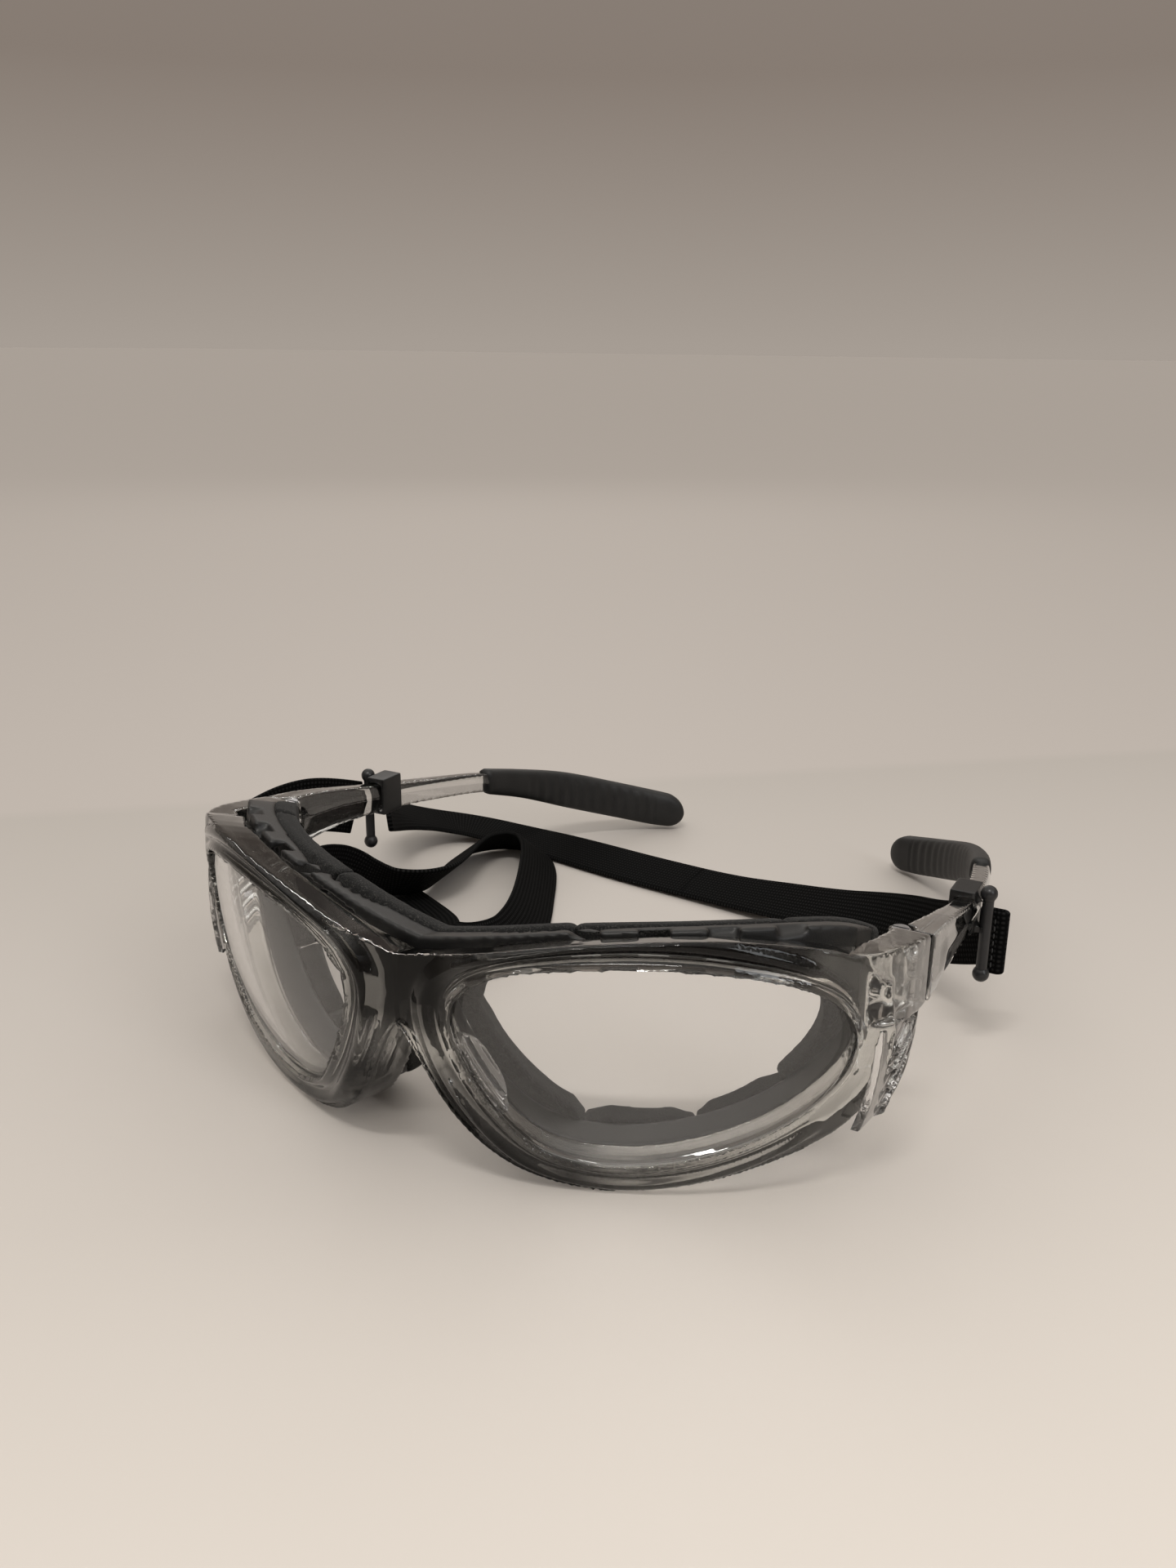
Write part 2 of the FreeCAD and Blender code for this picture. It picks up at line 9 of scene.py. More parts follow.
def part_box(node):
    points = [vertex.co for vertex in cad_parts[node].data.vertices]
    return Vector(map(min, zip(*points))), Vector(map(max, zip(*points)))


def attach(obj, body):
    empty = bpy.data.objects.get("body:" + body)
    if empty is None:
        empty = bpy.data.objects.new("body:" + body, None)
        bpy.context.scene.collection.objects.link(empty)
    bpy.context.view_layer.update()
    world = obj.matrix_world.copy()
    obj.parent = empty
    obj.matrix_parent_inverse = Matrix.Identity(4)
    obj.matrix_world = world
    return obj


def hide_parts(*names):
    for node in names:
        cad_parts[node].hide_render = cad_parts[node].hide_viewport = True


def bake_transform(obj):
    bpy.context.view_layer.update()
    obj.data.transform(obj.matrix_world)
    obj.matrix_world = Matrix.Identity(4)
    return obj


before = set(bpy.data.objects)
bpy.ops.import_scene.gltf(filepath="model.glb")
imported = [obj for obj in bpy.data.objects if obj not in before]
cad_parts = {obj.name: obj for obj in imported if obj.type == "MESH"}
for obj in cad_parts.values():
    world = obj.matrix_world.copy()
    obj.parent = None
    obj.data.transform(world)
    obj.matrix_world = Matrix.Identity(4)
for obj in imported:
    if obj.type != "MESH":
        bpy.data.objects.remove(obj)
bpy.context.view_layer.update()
scene = bpy.context.scene

# ------------------------------------------------------------------ sizes, in millimetres unless said
MM = 0.001
MIDDLE_Y = 72.1                # the outlines and routes below are written before the model is centred
LENS_CENTRE = (37.5, -1.0, 23.8)
WRAP = math.radians(27.4)
TILT = math.radians(6.3)
LENS_RADIUS = 76.7
LENS_THICKNESS = 2.2
LENS_GROOVE = 0.9
RIM_WIDTH = 5.2                # the raised band round each lens

OPENING = [(29.9, 1.0), (27.4, 7.6), (21.2, 11.9), (10.0, 15.0), (-2.0, 15.95), (-14.0, 14.8), (-24.4, 11.4),
           (-28.9, 6.0), (-27.4, -1.8), (-22.4, -10.3), (-15.4, -17.0), (-5.0, -18.9), (7.0, -16.9),
           (18.0, -12.6), (26.2, -6.6)]
RIM_OUTLINE = [(-43.0, 3.8), (-38.6, 2.2), (-34.6, -3.0), (-31.0, -9.8), (-26.4, -16.2), (-20.6, -21.0),
               (-14.2, -23.5), (-6.6, -24.3), (1.5, -23.6), (9.8, -21.8), (18.0, -19.0), (26.0, -15.4),
               (31.6, -10.8), (34.6, -5.2), (35.8, 1.0), (35.0, 7.6), (33.4, 14.6), (28.2, 18.8),
               (20.5, 20.6), (12.0, 21.4), (4.0, 21.5), (-3.4, 21.1), (-12.5, 20.3), (-22.1, 18.8),
               (-30.0, 17.8), (-37.4, 17.2), (-43.0, 17.1)]

TEMPLE_TOP = [(38, 36.1), (56, 33.0), (76, 29.0), (102, 24.4), (130.5, 16.4), (141.6, 12.0)]
TEMPLE_BOTTOM = [(38, 24.6), (56, 25.2), (76, 23.4), (102, 19.8), (130.5, 11.6), (141.6, 7.4)]
# The temple tip: (x, y, thickness, top, bottom) along its middle.
TIP = [(59.1, 105.0, 4.2, 24.8, 18.6), (56.3, 116.5, 4.5, 22.0, 14.8), (51.0, 130.0, 4.8, 18.4, 9.2),
       (42.2, 143.0, 5.0, 13.4, 4.0), (35.2, 149.6, 4.8, 10.6, 1.4), (28.2, 153.8, 4.2, 8.6, 0.4)]
LOUVRE_FRONT_Y = 24.6
LOUVRE_TOP = 22.4
LOUVRE_PITCH = 3.0
LOUVRE_RIDGE = 1.1
LOUVRE_SLOPE = math.tan(math.radians(16.0))
PAD_END_DIP = 1.5              # how far a foam pad's inner face curves back at its ends
PAD_END_LENGTH = 3.4
RIB_PITCH = 3.2                # the temple tip's ribs
RIB_DEPTH = 0.35

STRAP_WIDTH = 12.0
STRAP_THICKNESS = 1.05
STITCH_COUNT = 7
STITCH_PITCH = 1.4
SEAM_OVERLAP = 0.0003           # metres that two lengths of webbing run into each other
# The headband's routes, with the webbing's lean at each point: 90 stands on edge, 0 and 180 lie flat.
BAND_LEFT = [(66.0, 78.4, 20.8, 90), (60.5, 83.0, 17.4, 92), (54.5, 89.8, 14.0, 100),
             (47.5, 96.8, 11.2, 118), (38.5, 103.0, 8.6, 138), (28.0, 107.8, 6.0, 153),
             (15.0, 111.6, 4.0, 160), (1.0, 114.1, 2.6, 168), (-8.0, 115.2, 2.4, 168)]
BAND_RIGHT = [(-8.0, 115.2, 2.4, 168), (-20.0, 116.6, 2.2, 168), (-33.5, 118.6, 2.1, 168),
              (-46.5, 121.2, 1.9, 171), (-60.0, 122.8, 1.7, 175), (-72.6, 121.4, 2.8, 176),
              (-80.6, 114.2, 5.2, 170), (-82.0, 103.6, 9.8, 148), (-78.2, 92.8, 15.4, 116),
              (-71.2, 82.6, 20.0, 92)]
TAIL = [(-70.4, 69.8, 23.6, 90), (-73.4, 62.6, 26.2, 90), (-76.0, 55.0, 26.8, 90),
        (-78.2, 47.6, 25.2, 92), (-79.8, 41.0, 22.6, 94), (-76.0, 35.6, 19.8, 96),
        (-70.2, 37.4, 17.4, 97), (-68.4, 44.0, 15.8, 97), (-68.4, 51.2, 14.4, 97),
        (-69.6, 58.6, 12.8, 99), (-69.8, 65.4, 10.0, 108), (-65.4, 70.4, 7.2, 124),
        (-59.2, 74.2, 6.0, 135), (-56.8, 82.6, 5.0, 139), (-59.2, 91.4, 4.4, 140),
        (-61.8, 99.8, 4.4, 141), (-62.2, 107.8, 4.4, 141), (-57.6, 113.6, 4.4, 141),
        (-50.6, 113.0, 4.5, 139), (-45.2, 107.2, 4.7, 135), (-40.8, 100.0, 4.8, 132),
        (-36.8, 92.4, 4.9, 130), (-32.6, 84.2, 4.9, 130), (-28.8, 76.0, 4.9, 130),
        (-25.8, 67.6, 4.9, 130), (-24.4, 59.4, 5.0, 129), (-28.6, 52.6, 5.0, 128),
        (-36.8, 53.0, 4.4, 138), (-43.0, 60.2, 3.2, 155), (-50.4, 67.4, 1.7, 170),
        (-60.6, 74.6, 0.9, 180), (-71.2, 80.0, 0.9, 180), (-81.2, 84.8, 0.9, 180)]


# ------------------------------------------------------------------ colours of the surroundings
# The black that painted shade mixes into the clear plastics' colour.
PAINTED_SHADE_BLACK = (0.006, 0.006, 0.006, 1)
# Shares of the way from the viewer to the far side, and the colour there: painted shade, lightest near the
# viewer and darker farther off.
TABLE_SHADES = ((0.20, (0.650, 0.606, 0.560)), (0.31, (0.520, 0.484, 0.450)), (0.40, (0.470, 0.438, 0.410)),
                (0.497, (0.425, 0.396, 0.368)), (0.503, (0.450, 0.415, 0.388)))
# The same for the sky, from below to straight up.
SKY_SHADES = ((0.0, (0.38, 0.335, 0.295)), (0.17, (0.24, 0.20, 0.17)), (0.40, (0.26, 0.225, 0.20)),
              (0.72, (1.15, 1.10, 1.03)))
TABLE_LINE_X = -0.650          # the table's shade changes along this direction
TABLE_LINE_Y = 0.760
TABLE_LINE_SHIFT = 0.5 - 0.1231


# ------------------------------------------------------------------ camera
def make_camera():
    place = Vector((109.96, -154.22 - MIDDLE_Y, 121.52)) * MM
    forward = Vector((-0.4533, 0.8360, -0.3091))
    up = Vector((-0.1560, 0.2670, 0.9510))
    right = forward.cross(up).normalized()
    up = right.cross(forward).normalized()
    data = bpy.data.cameras.new("camera")
    data.lens = 30.97
    data.sensor_width = 36.0
    data.clip_start = 0.01
    camera = bpy.data.objects.new("camera", data)
    turn = Matrix((right, up, -forward.normalized())).transposed()
    camera.matrix_world = Matrix.Translation(place) @ turn.to_4x4()
    scene.collection.objects.link(camera)
    scene.camera = camera


make_camera()
scene.view_settings.view_transform = "Standard"


# ------------------------------------------------------------------ material helpers
def fill_ramp(ramp, shades):
    """Give a new colour ramp these (position, colour) stops."""
    for element, (position, colour) in zip(ramp.elements, shades[:2]):
        element.position = position
        element.color = (*colour, 1)
    for position, colour in shades[2:]:
        ramp.elements.new(position).color = (*colour, 1)


class Nodes:
    """Short calls for building a node material."""

    def __init__(self, name):
        self.material = bpy.data.materials.new(name)
        self.material.use_nodes = True
        self.tree = self.material.node_tree
        self.shader = self.tree.nodes["Principled BSDF"]
        self.output = self.tree.nodes["Material Output"]

    def add(self, kind, **values):
        node = self.tree.nodes.new(kind)
        for key, value in values.items():
            if hasattr(node, key):
                setattr(node, key, value)
            else:
                node.inputs[key.replace("_", " ")].default_value = value
        return node

    def link(self, source, target):
        self.tree.links.new(source, target)

    def set(self, **values):
        for key, value in values.items():
            self.shader.inputs[key.replace("_", " ")].default_value = value

    def place(self):
        return self.add("ShaderNodeTexCoord").outputs["Object"]

    def noise(self, scale, detail=3.0, where=None):
        node = self.add("ShaderNodeTexNoise", Scale=scale, Detail=detail)
        self.link(where or self.place(), node.inputs["Vector"])
        return node.outputs["Fac"]

    def ramp(self, source, low, high, start=0.35, end=0.65):
        node = self.add("ShaderNodeValToRGB")
        node.color_ramp.elements[0].position = start
        node.color_ramp.elements[1].position = end
        node.color_ramp.elements[0].color = (*low, 1)
        node.color_ramp.elements[1].color = (*high, 1)
        self.link(source, node.inputs["Fac"])
        return node.outputs["Color"]

    def bump(self, height, strength, distance):
        node = self.add("ShaderNodeBump", Strength=strength, Distance=distance)
        self.link(height, node.inputs["Height"])
        self.link(node.outputs["Normal"], self.shader.inputs["Normal"])

    def let_light_through(self, tint):
        """Shadow rays pass a clear piece, dimmed by its tint."""
        clear = self.add("ShaderNodeBsdfTransparent")
        clear.inputs["Color"].default_value = (*tint, 1)
        rays = self.add("ShaderNodeLightPath")
        mix = self.add("ShaderNodeMixShader")
        self.link(rays.outputs["Is Shadow Ray"], mix.inputs["Fac"])
        self.link(self.shader.outputs["BSDF"], mix.inputs[1])
        self.link(clear.outputs["BSDF"], mix.inputs[2])
        self.link(mix.outputs["Shader"], self.output.inputs["Surface"])


def plastic_with_painted_shade(name, face, edge, bend, roughness, shadow, ripple):
    """Moulded clear plastic with painted shade in its colour: darker where it is seen edge-on, and darker
    still where the mesh's painted-shade attribute is high.
    """
    m = Nodes(name)
    # Painted shade: the colour darkens towards the edge colour where the surface is seen edge-on.
    facing = m.add("ShaderNodeLayerWeight", Blend=0.46)
    tint = m.ramp(facing.outputs["Facing"], face, edge, 0.16, 0.76)
    # Painted shade: the mesh's per-point attribute mixes the colour towards black.
    thick = m.add("ShaderNodeAttribute", attribute_name="painted_shade")
    painted_shade_mix = m.add("ShaderNodeMix", data_type="RGBA")
    m.link(thick.outputs["Fac"], painted_shade_mix.inputs[0])
    m.link(tint, painted_shade_mix.inputs[6])
    painted_shade_mix.inputs[7].default_value = PAINTED_SHADE_BLACK
    m.link(painted_shade_mix.outputs[2], m.shader.inputs["Base Color"])
    m.set(Transmission_Weight=1.0, IOR=bend, Roughness=roughness, Coat_Roughness=0.02, Coat_IOR=1.5)
    # Less coat where the painted shade is.
    gloss = m.add("ShaderNodeMath", operation="MULTIPLY_ADD")
    m.link(thick.outputs["Fac"], gloss.inputs[0])
    gloss.inputs[1].default_value = -0.65
    gloss.inputs[2].default_value = 0.80
    m.link(gloss.outputs["Value"], m.shader.inputs["Coat Weight"])
    m.bump(m.noise(140.0, 1.0), ripple, 0.0006)
    m.let_light_through(shadow)
    return m.material


def clear_plastic(name, tint, roughness, shadow, ripple=0.0):
    m = Nodes(name)
    m.set(Base_Color=(*tint, 1), Transmission_Weight=1.0, IOR=1.49, Roughness=roughness)
    if ripple:
        m.bump(m.noise(160.0, 1.0), ripple, 0.0006)
    m.let_light_through(shadow)
    return m.material


def rubber(name, shade, roughness, grain):
    m = Nodes(name)
    low = [c * 0.8 for c in shade]
    high = [c * 1.25 for c in shade]
    m.link(m.ramp(m.noise(240.0), low, high), m.shader.inputs["Base Color"])
    m.set(Roughness=roughness, Specular_IOR_Level=0.35)
    m.bump(m.noise(4200.0, 4.0), grain, 0.00012)
    return m.material


def foam_cloth(name):
    """Closed-cell foam faced with a fine dark cloth that catches light in specks."""
    m = Nodes(name)
    speck = m.noise(3600.0, 3.0)
    shade = m.ramp(speck, (0.005, 0.005, 0.005), (0.07, 0.068, 0.063), 0.54, 0.82)
    m.link(shade, m.shader.inputs["Base Color"])
    m.set(Roughness=0.9, Specular_IOR_Level=0.2, Sheen_Weight=0.06, Sheen_Roughness=0.5)
    m.bump(speck, 0.75, 0.0003)
    return m.material


def webbing(name):
    """Woven elastic: ribs along the length, crossed by a fine pick."""
    m = Nodes(name)
    place = m.add("ShaderNodeTexCoord").outputs["UV"]
    ribs = m.add("ShaderNodeTexWave", bands_direction="Y", Scale=0.34, Distortion=0.6)
    picks = m.add("ShaderNodeTexWave", bands_direction="X", Scale=0.42, Distortion=1.0)
    for wave in (ribs, picks):
        m.link(place, wave.inputs["Vector"])
    both = m.add("ShaderNodeMath", operation="MULTIPLY")
    m.link(ribs.outputs["Fac"], both.inputs[0])
    m.link(picks.outputs["Fac"], both.inputs[1])
    weave = both.outputs["Value"]
    shade = m.ramp(weave, (0.002, 0.002, 0.002), (0.013, 0.013, 0.013), 0.1, 0.9)
    m.link(shade, m.shader.inputs["Base Color"])
    m.set(Roughness=0.85, Specular_IOR_Level=0.04)
    m.bump(weave, 0.5, 0.00025)
    return m.material


def steel(name):
    m = Nodes(name)
    m.link(m.ramp(m.noise(900.0), (0.32, 0.32, 0.33), (0.52, 0.52, 0.53)), m.shader.inputs["Base Color"])
    m.set(Metallic=1.0, Roughness=0.32)
    return m.material


FRAME_PLASTIC = plastic_with_painted_shade("frame_plastic", (0.84, 0.84, 0.81), (0.015, 0.015, 0.015), 1.22, 0.02,
                               (0.55, 0.55, 0.55), 0.10)
SHIELD_PLASTIC = plastic_with_painted_shade("shield_plastic", (0.86, 0.86, 0.86), (0.05, 0.05, 0.05), 1.46, 0.03,
                                (0.75, 0.75, 0.76), 0.08)
TEMPLE_PLASTIC = plastic_with_painted_shade("temple_plastic", (0.86, 0.86, 0.85), (0.06, 0.06, 0.06), 1.36, 0.04,
                                (0.70, 0.70, 0.71), 0.14)
LENS_CLEAR = clear_plastic("lens_clear", (0.955, 0.957, 0.96), 0.0, (0.93, 0.93, 0.935))
PAD_CLEAR = clear_plastic("pad_clear", (0.90, 0.90, 0.91), 0.12, (0.82, 0.82, 0.83), 0.3)
CARRIER_RUBBER = rubber("carrier_rubber", (0.007, 0.007, 0.007), 0.40, 0.25)
TIP_RUBBER = rubber("tip_rubber", (0.009, 0.009, 0.009), 0.50, 0.30)
CLIP_PLASTIC = rubber("clip_plastic", (0.009, 0.009, 0.009), 0.34, 0.12)
BAR_PLASTIC = rubber("bar_plastic", (0.014, 0.014, 0.015), 0.30, 0.10)
FOAM = foam_cloth("foam_cloth")
WEBBING = webbing("webbing")
THREAD = rubber("thread", (0.030, 0.030, 0.031), 0.6, 0.4)
STEEL = steel("steel")


# ------------------------------------------------------------------ the lens's own axes and outlines
OUT = np.array((math.cos(WRAP), math.sin(WRAP), 0.0))
LEVEL_NORMAL = np.array((math.sin(WRAP), -math.cos(WRAP), 0.0))
UP = np.array((0.0, 0.0, 1.0)) * math.cos(TILT) + LEVEL_NORMAL * math.sin(TILT)
NORMAL = LEVEL_NORMAL * math.cos(TILT) - np.array((0.0, 0.0, 1.0)) * math.sin(TILT)
CENTRE = np.array(LENS_CENTRE) - np.array((0.0, MIDDLE_Y, 0.0))


def lens_point(u, v, depth):
    """A point in metres: u towards the temple, v up and depth forward of the lens centre, in millimetres."""
    return (CENTRE + OUT * u + UP * v + NORMAL * depth) * MM


def closed_curve(points, steps=16):
    """A smooth closed curve through the points, by Catmull and Rom's rule."""
    p = np.array(points, float)
    t = np.linspace(0, 1, steps, endpoint=False)[:, None]
    rows = []
    for i in range(len(p)):
        a, b, c, d = p[i - 1], p[i], p[(i + 1) % len(p)], p[(i + 2) % len(p)]
        rows.append(0.5 * (2 * b + (c - a) * t + (2 * a - 5 * b + 4 * c - d) * t ** 2
                           + (3 * b - a - 3 * c + d) * t ** 3))
    return np.concatenate(rows)


def polar_reach(points):
    """The outline's distance from the lens centre as a function of the angle."""
    curve = closed_curve(points)
    angle = np.arctan2(curve[:, 1], curve[:, 0])
    reach = np.hypot(curve[:, 0], curve[:, 1])
    order = np.argsort(angle)
    angle, reach = angle[order], reach[order]
    return lambda a: np.interp(a, angle, reach, period=2 * math.pi)


opening_reach = polar_reach(OPENING)
rim_reach = polar_reach(RIM_OUTLINE)


def smooth_step(x, start, end):
    t = np.clip((x - start) / (end - start), 0.0, 1.0)
    return t * t * (3 - 2 * t)


# ------------------------------------------------------------------ mesh helpers
def make_piece(name, verts, faces, material, body, replaces=(), uvs=None):
    mesh = bpy.data.meshes.new(name)
    mesh.from_pydata([tuple(v) for v in verts], [], faces)
    shape = bmesh.new()
    shape.from_mesh(mesh)
    bmesh.ops.recalc_face_normals(shape, faces=shape.faces[:])
    shape.to_mesh(mesh)
    shape.free()
    mesh.shade_smooth()
    if uvs is not None:
        layer = mesh.uv_layers.new(name="length_and_width")
        for loop in mesh.loops:
            layer.data[loop.index].uv = uvs[loop.vertex_index]
    return finish_piece(name, mesh, material, body, replaces)


def finish_piece(name, mesh, material, body, replaces):
    mesh.materials.clear()
    mesh.materials.append(material)
    piece = bpy.data.objects.new(name, mesh)
    scene.collection.objects.link(piece)
    if body:
        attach(piece, body)
    if replaces:
        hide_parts(*replaces)
    return piece


def remeshed(node, voxel, rounds):
    """A smooth, even mesh of a CAD node's shape, as a new mesh. voxel is in millimetres."""
    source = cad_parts[node]
    helper = bpy.data.objects.new("helper", source.data.copy())
    scene.collection.objects.link(helper)
    weld = helper.modifiers.new("weld", "WELD")
    weld.merge_threshold = 1e-6
    grid = helper.modifiers.new("grid", "REMESH")
    grid.mode = "VOXEL"
    grid.voxel_size = voxel * MM
    soften = helper.modifiers.new("soften", "SMOOTH")
    soften.factor = 0.5
    soften.iterations = rounds
    bpy.context.view_layer.update()
    ready = helper.evaluated_get(bpy.context.evaluated_depsgraph_get())
    mesh = bpy.data.meshes.new_from_object(ready)
    bpy.data.objects.remove(helper)
    mesh.shade_smooth()
    return mesh


def read_points(mesh):
    flat = np.empty(len(mesh.vertices) * 3)
    mesh.vertices.foreach_get("co", flat)
    return flat.reshape(-1, 3)


def read_normals(mesh):
    flat = np.empty(len(mesh.vertices) * 3)
    mesh.vertices.foreach_get("normal", flat)
    return flat.reshape(-1, 3)


def write_points(mesh, points):
    mesh.vertices.foreach_set("co", points.ravel())
    mesh.update()


def mirror_x(points, side):
    return points * np.array((side, 1, 1))


# ------------------------------------------------------------------ front frame
def rim_profile(across, width):
    """How far the rim's face stands from its CAD face, by distance from the lens opening."""
    t = across / width
    lip = -0.75 * (1 - smooth_step(t, 0.0, 0.16))
    valley = -0.75 * np.exp(-((t - 0.42) / 0.17) ** 2)
    crest = 0.25 * np.exp(-((t - 0.80) / 0.13) ** 2)
    edge = -0.55 * smooth_step(t, 0.90, 1.02)
    return lip + valley + crest + edge


def set_painted_shade(mesh, amount):
    """How much painted shade darkens the moulded plastic at each point, from 0 to 1."""
    layer = mesh.attributes.new("painted_shade", "FLOAT", "POINT")
    layer.data.foreach_set("value", amount.astype(np.float32))


def frame_painted_shade(u, v, across, width):
    """Painted shade on the frame: darkest along the brow, at the bridge, by the lug and on the low edge near
    the nose.
    """
    brow = smooth_step(v, 13.0, 16.0) * smooth_step(across, 0.4, 1.8)
    middle = smooth_step(-u, 27.5, 32.0) * smooth_step(v, -3.0, 3.0)
    corner = smooth_step(u, 25.0, 30.0) * smooth_step(v, 4.0, 9.0)
    near_nose = 1 - smooth_step(u, -12.0, -2.0)
    low_edge = smooth_step(across / width, 0.45, 0.9) * smooth_step(-v, 3.0, 9.0) * near_nose
    return 0.94 * np.maximum.reduce((brow, middle, 0.8 * corner, low_edge))


def make_front_frame():
    mesh = remeshed("front_frame", 0.42, 7)
    points = read_points(mesh)
    normals = read_normals(mesh)
    side = np.where(points[:, 0] >= 0, 1.0, -1.0)
    local = points / MM
    local[:, 0] *= side
    facing = normals.copy()
    facing[:, 0] *= side
    away = local - CENTRE
    u, v = away @ OUT, away @ UP
    angle, reach = np.arctan2(v, u), np.hypot(u, v)
    across = reach - opening_reach(angle)
    full = rim_reach(angle) - opening_reach(angle)
    width = np.minimum(full, RIM_WIDTH)
    front = smooth_step(facing @ NORMAL, 0.25, 0.75)
    off_lug = 1 - smooth_step(local[:, 0], 55.0, 58.5)
    lift = rim_profile(across, width)
    bridge = smooth_step(across, RIM_WIDTH, RIM_WIDTH + 1.2) * (1 - smooth_step(local[:, 0], 9.0, 13.0))
    lift = np.where(across > width, -0.55, lift) - 0.9 * bridge
    notch_zone = ((np.abs(angle) > 2.75) | (np.abs(angle + 0.12) < 0.30)) & (across < 1.3)
    lift -= np.where(notch_zone, 0.35 * (np.sin(angle * 46.0) > 0.1), 0.0)
    lift *= front * off_lug
    shift = NORMAL[None, :] * lift[:, None]
    shift[:, 0] *= side
    write_points(mesh, points + shift * MM)
    # Painted shade on the frame, none on the lug.
    set_painted_shade(mesh, frame_painted_shade(u, v, across, width) * off_lug)
    return finish_piece("front_frame_shell", mesh, FRAME_PLASTIC, "front", ("front_frame",))


# ------------------------------------------------------------------ lenses
def make_lens(side):
    spokes, rings = 180, 24
    rows = []
    front, back = range(rings + 1), range(rings, -1, -1)
    for radius, order in ((LENS_RADIUS, front), (LENS_RADIUS - LENS_THICKNESS, back)):
        for k in order:
            for i in range(spokes):
                a = -math.pi + 2 * math.pi * i / spokes
                r = max((opening_reach(a) + LENS_GROOVE - 0.1) * k / rings, 0.001)
                depth = math.sqrt(radius ** 2 - r ** 2) - LENS_RADIUS
                rows.append(lens_point(r * math.cos(a), r * math.sin(a), depth))
    count = len(rows) // spokes
    faces = []
    for k in range(count - 1):
        for i in range(spokes):
            j = (i + 1) % spokes
            quad = (k * spokes + i, k * spokes + j, (k + 1) * spokes + j, (k + 1) * spokes + i)
            faces.append(quad if side > 0 else quad[::-1])
    faces.append(tuple(range(spokes))[:: -side])
    faces.append(tuple(range((count - 1) * spokes, count * spokes))[:: side])
    word = "left" if side > 0 else "right"
    verts = mirror_x(np.array(rows), side)
    make_piece(word + "_lens_clear", verts, faces, LENS_CLEAR, "front", (word + "_lens",))


# ------------------------------------------------------------------ pieces that follow their CAD shape
def follow(node, name, body, material, voxel, rounds, sculpt=None, swell=0.0):
    mesh = remeshed(node, voxel, rounds)
    points = read_points(mesh)
    if swell:
        points = points + read_normals(mesh) * swell * MM
        write_points(mesh, points)
    if sculpt:
        write_points(mesh, sculpt(points, read_normals(mesh)))
    return finish_piece(name, mesh, material, body, (node,))


def facet_temple(points, normals):
    """A long ridge down each broad face of the arm, with a flat above and below it."""
    y = points[:, 1] / MM + MIDDLE_Y
    top = np.interp(y, *zip(*TEMPLE_TOP))
    bottom = np.interp(y, *zip(*TEMPLE_BOTTOM))
    height = (points[:, 2] / MM - bottom) / (top - bottom)
    ridge = 0.42 - 1.0 * np.abs(height - 0.58)
    broad = smooth_step(np.abs(normals[:, 0]), 0.5, 0.9) * smooth_step(y, 42.0, 46.0)
    return points + normals * (ridge * broad * MM)[:, None]


def louvre_wave(points):
    """From 0 to 1, how far each point is up a strip between two louvres, and how far inside the strips."""
    y = points[:, 1] / MM + MIDDLE_Y
    z = points[:, 2] / MM - (y - LOUVRE_FRONT_Y) * LOUVRE_SLOPE
    wave = 0.5 - 0.5 * np.cos(2 * math.pi * (z - LOUVRE_TOP) / LOUVRE_PITCH)
    field = smooth_step(y, 22.0, 24.0) * smooth_step(z, 10.0, 12.0) * (1 - smooth_step(z, 23.0, 25.0))
    return wave, field


def corrugate_shield(points, normals):
    """The strips between the louvres stand out as slanted ridges."""
    wave, field = louvre_wave(points)
    lifted = points.copy()
    height = np.where(np.abs(normals[:, 0]) > 0.3, wave * field, 0.0) * LOUVRE_RIDGE * MM
    lifted[:, 0] += np.sign(points[:, 0]) * height
    return lifted


def paint_louvre_shade(shield):
    """Each louvre's edges get painted shade, standing in for the dark edges that thick clear plastic shows.
    """
    wave, field = louvre_wave(read_points(shield.data))
    set_painted_shade(shield.data, 0.95 * field * smooth_step(1 - wave, 0.30, 0.62))


def round_pad_ends(points, _normals):
    """The foam's inner face curves away at both ends of a pad, so that two pads meet in a shallow dip."""
    local = points / MM
    side = 1.0 if local[:, 0].mean() > 0 else -1.0
    local[:, 0] *= side
    away = local - CENTRE
    u, v = away @ OUT, away @ UP
    reach = np.hypot(u, v)
    middle = math.atan2(v.mean(), u.mean())
    turn = (np.arctan2(v, u) - middle + math.pi) % (2 * math.pi) - math.pi
    to_end = np.minimum(turn - turn.min(), turn.max() - turn) * reach
    inner = 1 - smooth_step(reach - reach.min(), 2.5, 6.0)
    shift = PAD_END_DIP * (1 - smooth_step(to_end, 0.0, PAD_END_LENGTH)) * inner
    move = (OUT[None, :] * (u / reach)[:, None] + UP[None, :] * (v / reach)[:, None]) * shift[:, None] * MM
    move[:, 0] *= side
    return points + move


def groove_pad(points, normals):
    """Fine parallel ridges along the nose pad."""
    along = points[:, 1] / MM * 0.9 - np.abs(points[:, 0]) / MM * 0.4
    return points + normals * (0.10 * np.sin(along * 7.0) * MM)[:, None]


